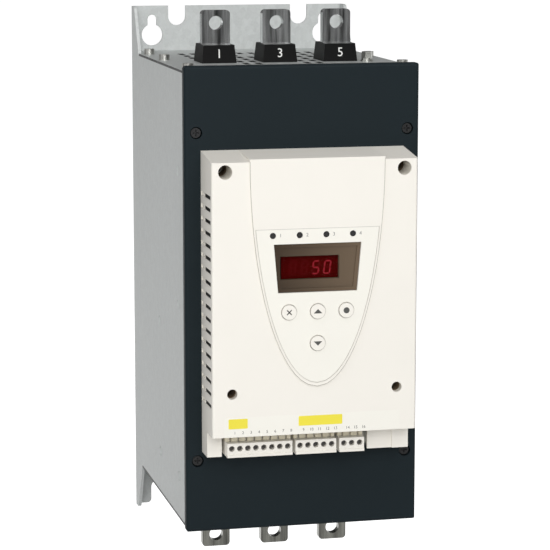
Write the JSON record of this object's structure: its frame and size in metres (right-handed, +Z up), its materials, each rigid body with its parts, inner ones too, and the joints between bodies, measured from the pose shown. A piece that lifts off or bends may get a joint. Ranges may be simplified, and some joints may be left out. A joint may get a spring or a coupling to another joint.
{
  "type": "soft starter",
  "caption": "Wall-mounted motor soft starter: folded steel chassis with ears, dark cover, cream panel with display and keys, plug-in terminals and flat power bars.",
  "frame": {"origin": "on the wall plane, at mid-width of the back plate and at mid-height of the front cover", "axes": "+Z up along the height, +Y into the wall, so the front faces -Y, and +X to the viewer's right"},
  "size_m": [0.1516, 0.2295, 0.3568],
  "materials": {
    "galvanised": "galvanised",
    "cover_paint": "satin",
    "zinc": "zinc plated",
    "black_screw": "blackened",
    "tinned": "tin plated",
    "alloy": "extruded",
    "black_plastic": "matt",
    "grey_plastic": "matt",
    "cream_plastic": "fine texture",
    "film": "satin film",
    "board_green": "solder mask",
    "smoked": "smoked clear",
    "display_red": "dark red",
    "lamp": "clear dark",
    "tan_plastic": "matt",
    "ribbon_grey": "matt",
    "relay_blue": "matt"
  },
  "bodies": {
    "starter": {"chassis": "galvanised", "top_plate": "galvanised", "bottom_plate": "galvanised", "front_cover": "cover_paint", "plate_screws": "zinc", "cover_screws": "black_screw", "earth_screw": "zinc", "side_rivets": "zinc", "heatsink": "alloy", "heatsink_bracket_left": "galvanised", "heatsink_bracket_right": "galvanised", "thyristor_1": "grey_plastic", "thyristor_2": "grey_plastic", "thyristor_3": "grey_plastic", "stage_screws": "zinc", "line_bar_1": "tinned", "line_bar_2": "tinned", "line_bar_3": "tinned", "load_bar_1": "tinned", "load_bar_2": "tinned", "load_bar_3": "tinned", "line_bushings": "black_plastic", "load_bushings": "black_plastic", "bar_screws": "zinc", "transformer_1": "relay_blue", "transformer_2": "relay_blue", "transformer_3": "relay_blue", "bypass_relay_1": "black_plastic", "bypass_relay_2": "black_plastic", "bypass_relay_3": "black_plastic", "power_board": "board_green", "board_bracket_left": "galvanised", "board_bracket_right": "galvanised", "fan_frame_left": "black_plastic", "fan_frame_right": "black_plastic", "panel_base": "cream_plastic", "panel_cover": "cream_plastic", "panel_screws": "zinc", "control_board": "board_green", "display_module": "display_red", "display_lens": "smoked", "keypad_overlay": "film", "status_lights": "lamp", "tact_switches": "grey_plastic", "headers": "tan_plastic", "network_jack": "zinc", "ribbon_cable": "ribbon_grey"},
    "escape_key": {"key_escape": "cream_plastic"},
    "up_key": {"key_up": "cream_plastic"},
    "enter_key": {"key_enter": "cream_plastic"},
    "down_key": {"key_down": "cream_plastic"},
    "left_rotor": {"fan_rotor_left": "grey_plastic"},
    "right_rotor": {"fan_rotor_right": "grey_plastic"},
    "eight_way_plug": {"plug_eight": "cream_plastic", "plug_eight_screws": "zinc"},
    "five_way_plug": {"plug_five": "cream_plastic", "plug_five_screws": "zinc"},
    "three_way_plug": {"plug_three": "cream_plastic", "plug_three_screws": "zinc"}
  },
  "joints": [
    {"name": "escape_key_press", "type": "slide", "parent": "starter", "child": "escape_key", "axis": [0, 1, 0], "range_m": [0, 0.0008], "stiffness_N_per_m": 1000},
    {"name": "up_key_press", "type": "slide", "parent": "starter", "child": "up_key", "axis": [0, 1, 0], "range_m": [0, 0.0008], "stiffness_N_per_m": 1000},
    {"name": "enter_key_press", "type": "slide", "parent": "starter", "child": "enter_key", "axis": [0, 1, 0], "range_m": [0, 0.0008], "stiffness_N_per_m": 1000},
    {"name": "down_key_press", "type": "slide", "parent": "starter", "child": "down_key", "axis": [0, 1, 0], "range_m": [0, 0.0008], "stiffness_N_per_m": 1000},
    {"name": "left_fan_spin", "type": "hinge", "parent": "starter", "child": "left_rotor", "pos_m": [-0.0305, -0.036, -0.13], "axis": [0, 0, 1], "continuous": true},
    {"name": "right_fan_spin", "type": "hinge", "parent": "starter", "child": "right_rotor", "pos_m": [0.0305, -0.036, -0.13], "axis": [0, 0, 1], "continuous": true},
    {"name": "eight_way_unplug", "type": "slide", "parent": "starter", "child": "eight_way_plug", "axis": [0, 0, -1], "range_m": [0, 0.012]},
    {"name": "five_way_unplug", "type": "slide", "parent": "starter", "child": "five_way_plug", "axis": [0, 0, -1], "range_m": [0, 0.012]},
    {"name": "three_way_unplug", "type": "slide", "parent": "starter", "child": "three_way_plug", "axis": [0, 0, -1], "range_m": [0, 0.012]}
  ]
}
